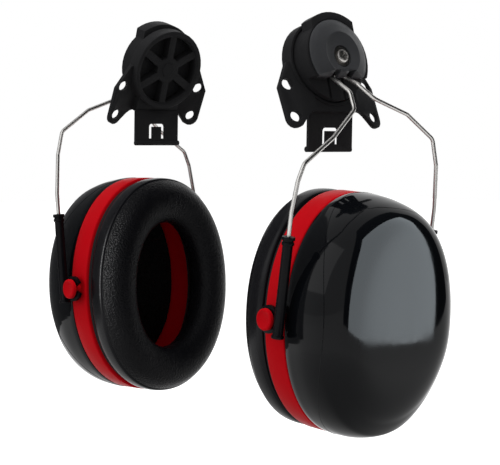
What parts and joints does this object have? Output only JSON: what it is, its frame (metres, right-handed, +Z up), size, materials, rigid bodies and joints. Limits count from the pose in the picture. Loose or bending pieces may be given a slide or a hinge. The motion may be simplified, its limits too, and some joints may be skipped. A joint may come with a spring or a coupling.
{
  "type": "helmet earmuff pair",
  "caption": "Pair of helmet-mounted hearing protector cups, each on a wire fork that swings, tilts and slides from a slotted bracket.",
  "frame": {"origin": "midway between the two bracket tongues, at the middle of their height: the middle of the helmet that holds them", "axes": "+X to the right unit, +Y front to back, +Z up"},
  "size_m": [0.2566, 0.1036, 0.2094],
  "materials": {
    "black_matte": "fine matte moulded black",
    "black_satin": "satin moulded black",
    "black_gloss": "polished black",
    "red_plastic": "satin red",
    "steel_wire": "bright drawn stainless wire",
    "zinc": "zinc plated",
    "cushion_skin": "grained soft vinyl skin",
    "foam": "open-cell foam"
  },
  "bodies": {
    "brackets": {"right_bracket": "black_matte", "left_bracket": "black_matte"},
    "right_hub": {"right_swivel_housing": "black_matte", "right_hub_cap": "black_matte", "right_hub_washer": "zinc", "right_hub_screw": "zinc"},
    "right_arm": {"right_wire_fork": "steel_wire"},
    "right_carriage": {"right_sleeve_rear": "black_satin", "right_sleeve_front": "black_satin"},
    "right_cup": {"right_inner_cup": "red_plastic", "right_outer_cup": "black_gloss", "right_cushion_plate": "black_satin", "right_cushion": "cushion_skin", "right_foam_liner": "foam"},
    "left_hub": {"left_swivel_housing": "black_matte", "left_hub_cap": "black_matte", "left_hub_washer": "zinc", "left_hub_screw": "zinc"},
    "left_arm": {"left_wire_fork": "steel_wire"},
    "left_carriage": {"left_sleeve_rear": "black_satin", "left_sleeve_front": "black_satin"},
    "left_cup": {"left_inner_cup": "red_plastic", "left_outer_cup": "black_gloss", "left_cushion_plate": "black_satin", "left_cushion": "cushion_skin", "left_foam_liner": "foam"}
  },
  "joints": [
    {"name": "right_hub_swing", "type": "hinge", "parent": "brackets", "child": "right_hub", "pos_m": [0.06485, 0, 0.0329], "axis": [0.9593, 0, 0.2823], "range_deg": [-90, 90]},
    {"name": "right_arm_tilt", "type": "hinge", "parent": "right_hub", "child": "right_arm", "pos_m": [0.07593, 0, 0.02782], "axis": [0, -1, 0], "range_deg": [0, 22]},
    {"name": "right_height_slide", "type": "slide", "parent": "right_arm", "child": "right_carriage", "axis": [0.1392, 0, 0.9903], "range_m": [0, 0.012]},
    {"name": "right_cup_pivot", "type": "hinge", "parent": "right_carriage", "child": "right_cup", "pos_m": [0.08275, 0, -0.09], "axis": [0, 1, 0], "range_deg": [-10, 10]},
    {"name": "left_hub_swing", "type": "hinge", "parent": "brackets", "child": "left_hub", "pos_m": [-0.06485, 0, 0.0329], "axis": [-0.9593, 0, 0.2823], "range_deg": [-90, 90]},
    {"name": "left_arm_tilt", "type": "hinge", "parent": "left_hub", "child": "left_arm", "pos_m": [-0.07593, 0, 0.02782], "axis": [0, 1, 0], "range_deg": [0, 22]},
    {"name": "left_height_slide", "type": "slide", "parent": "left_arm", "child": "left_carriage", "axis": [-0.1392, 0, 0.9903], "range_m": [0, 0.012]},
    {"name": "left_cup_pivot", "type": "hinge", "parent": "left_carriage", "child": "left_cup", "pos_m": [-0.08275, 0, -0.09], "axis": [0, -1, 0], "range_deg": [-10, 10]}
  ]
}
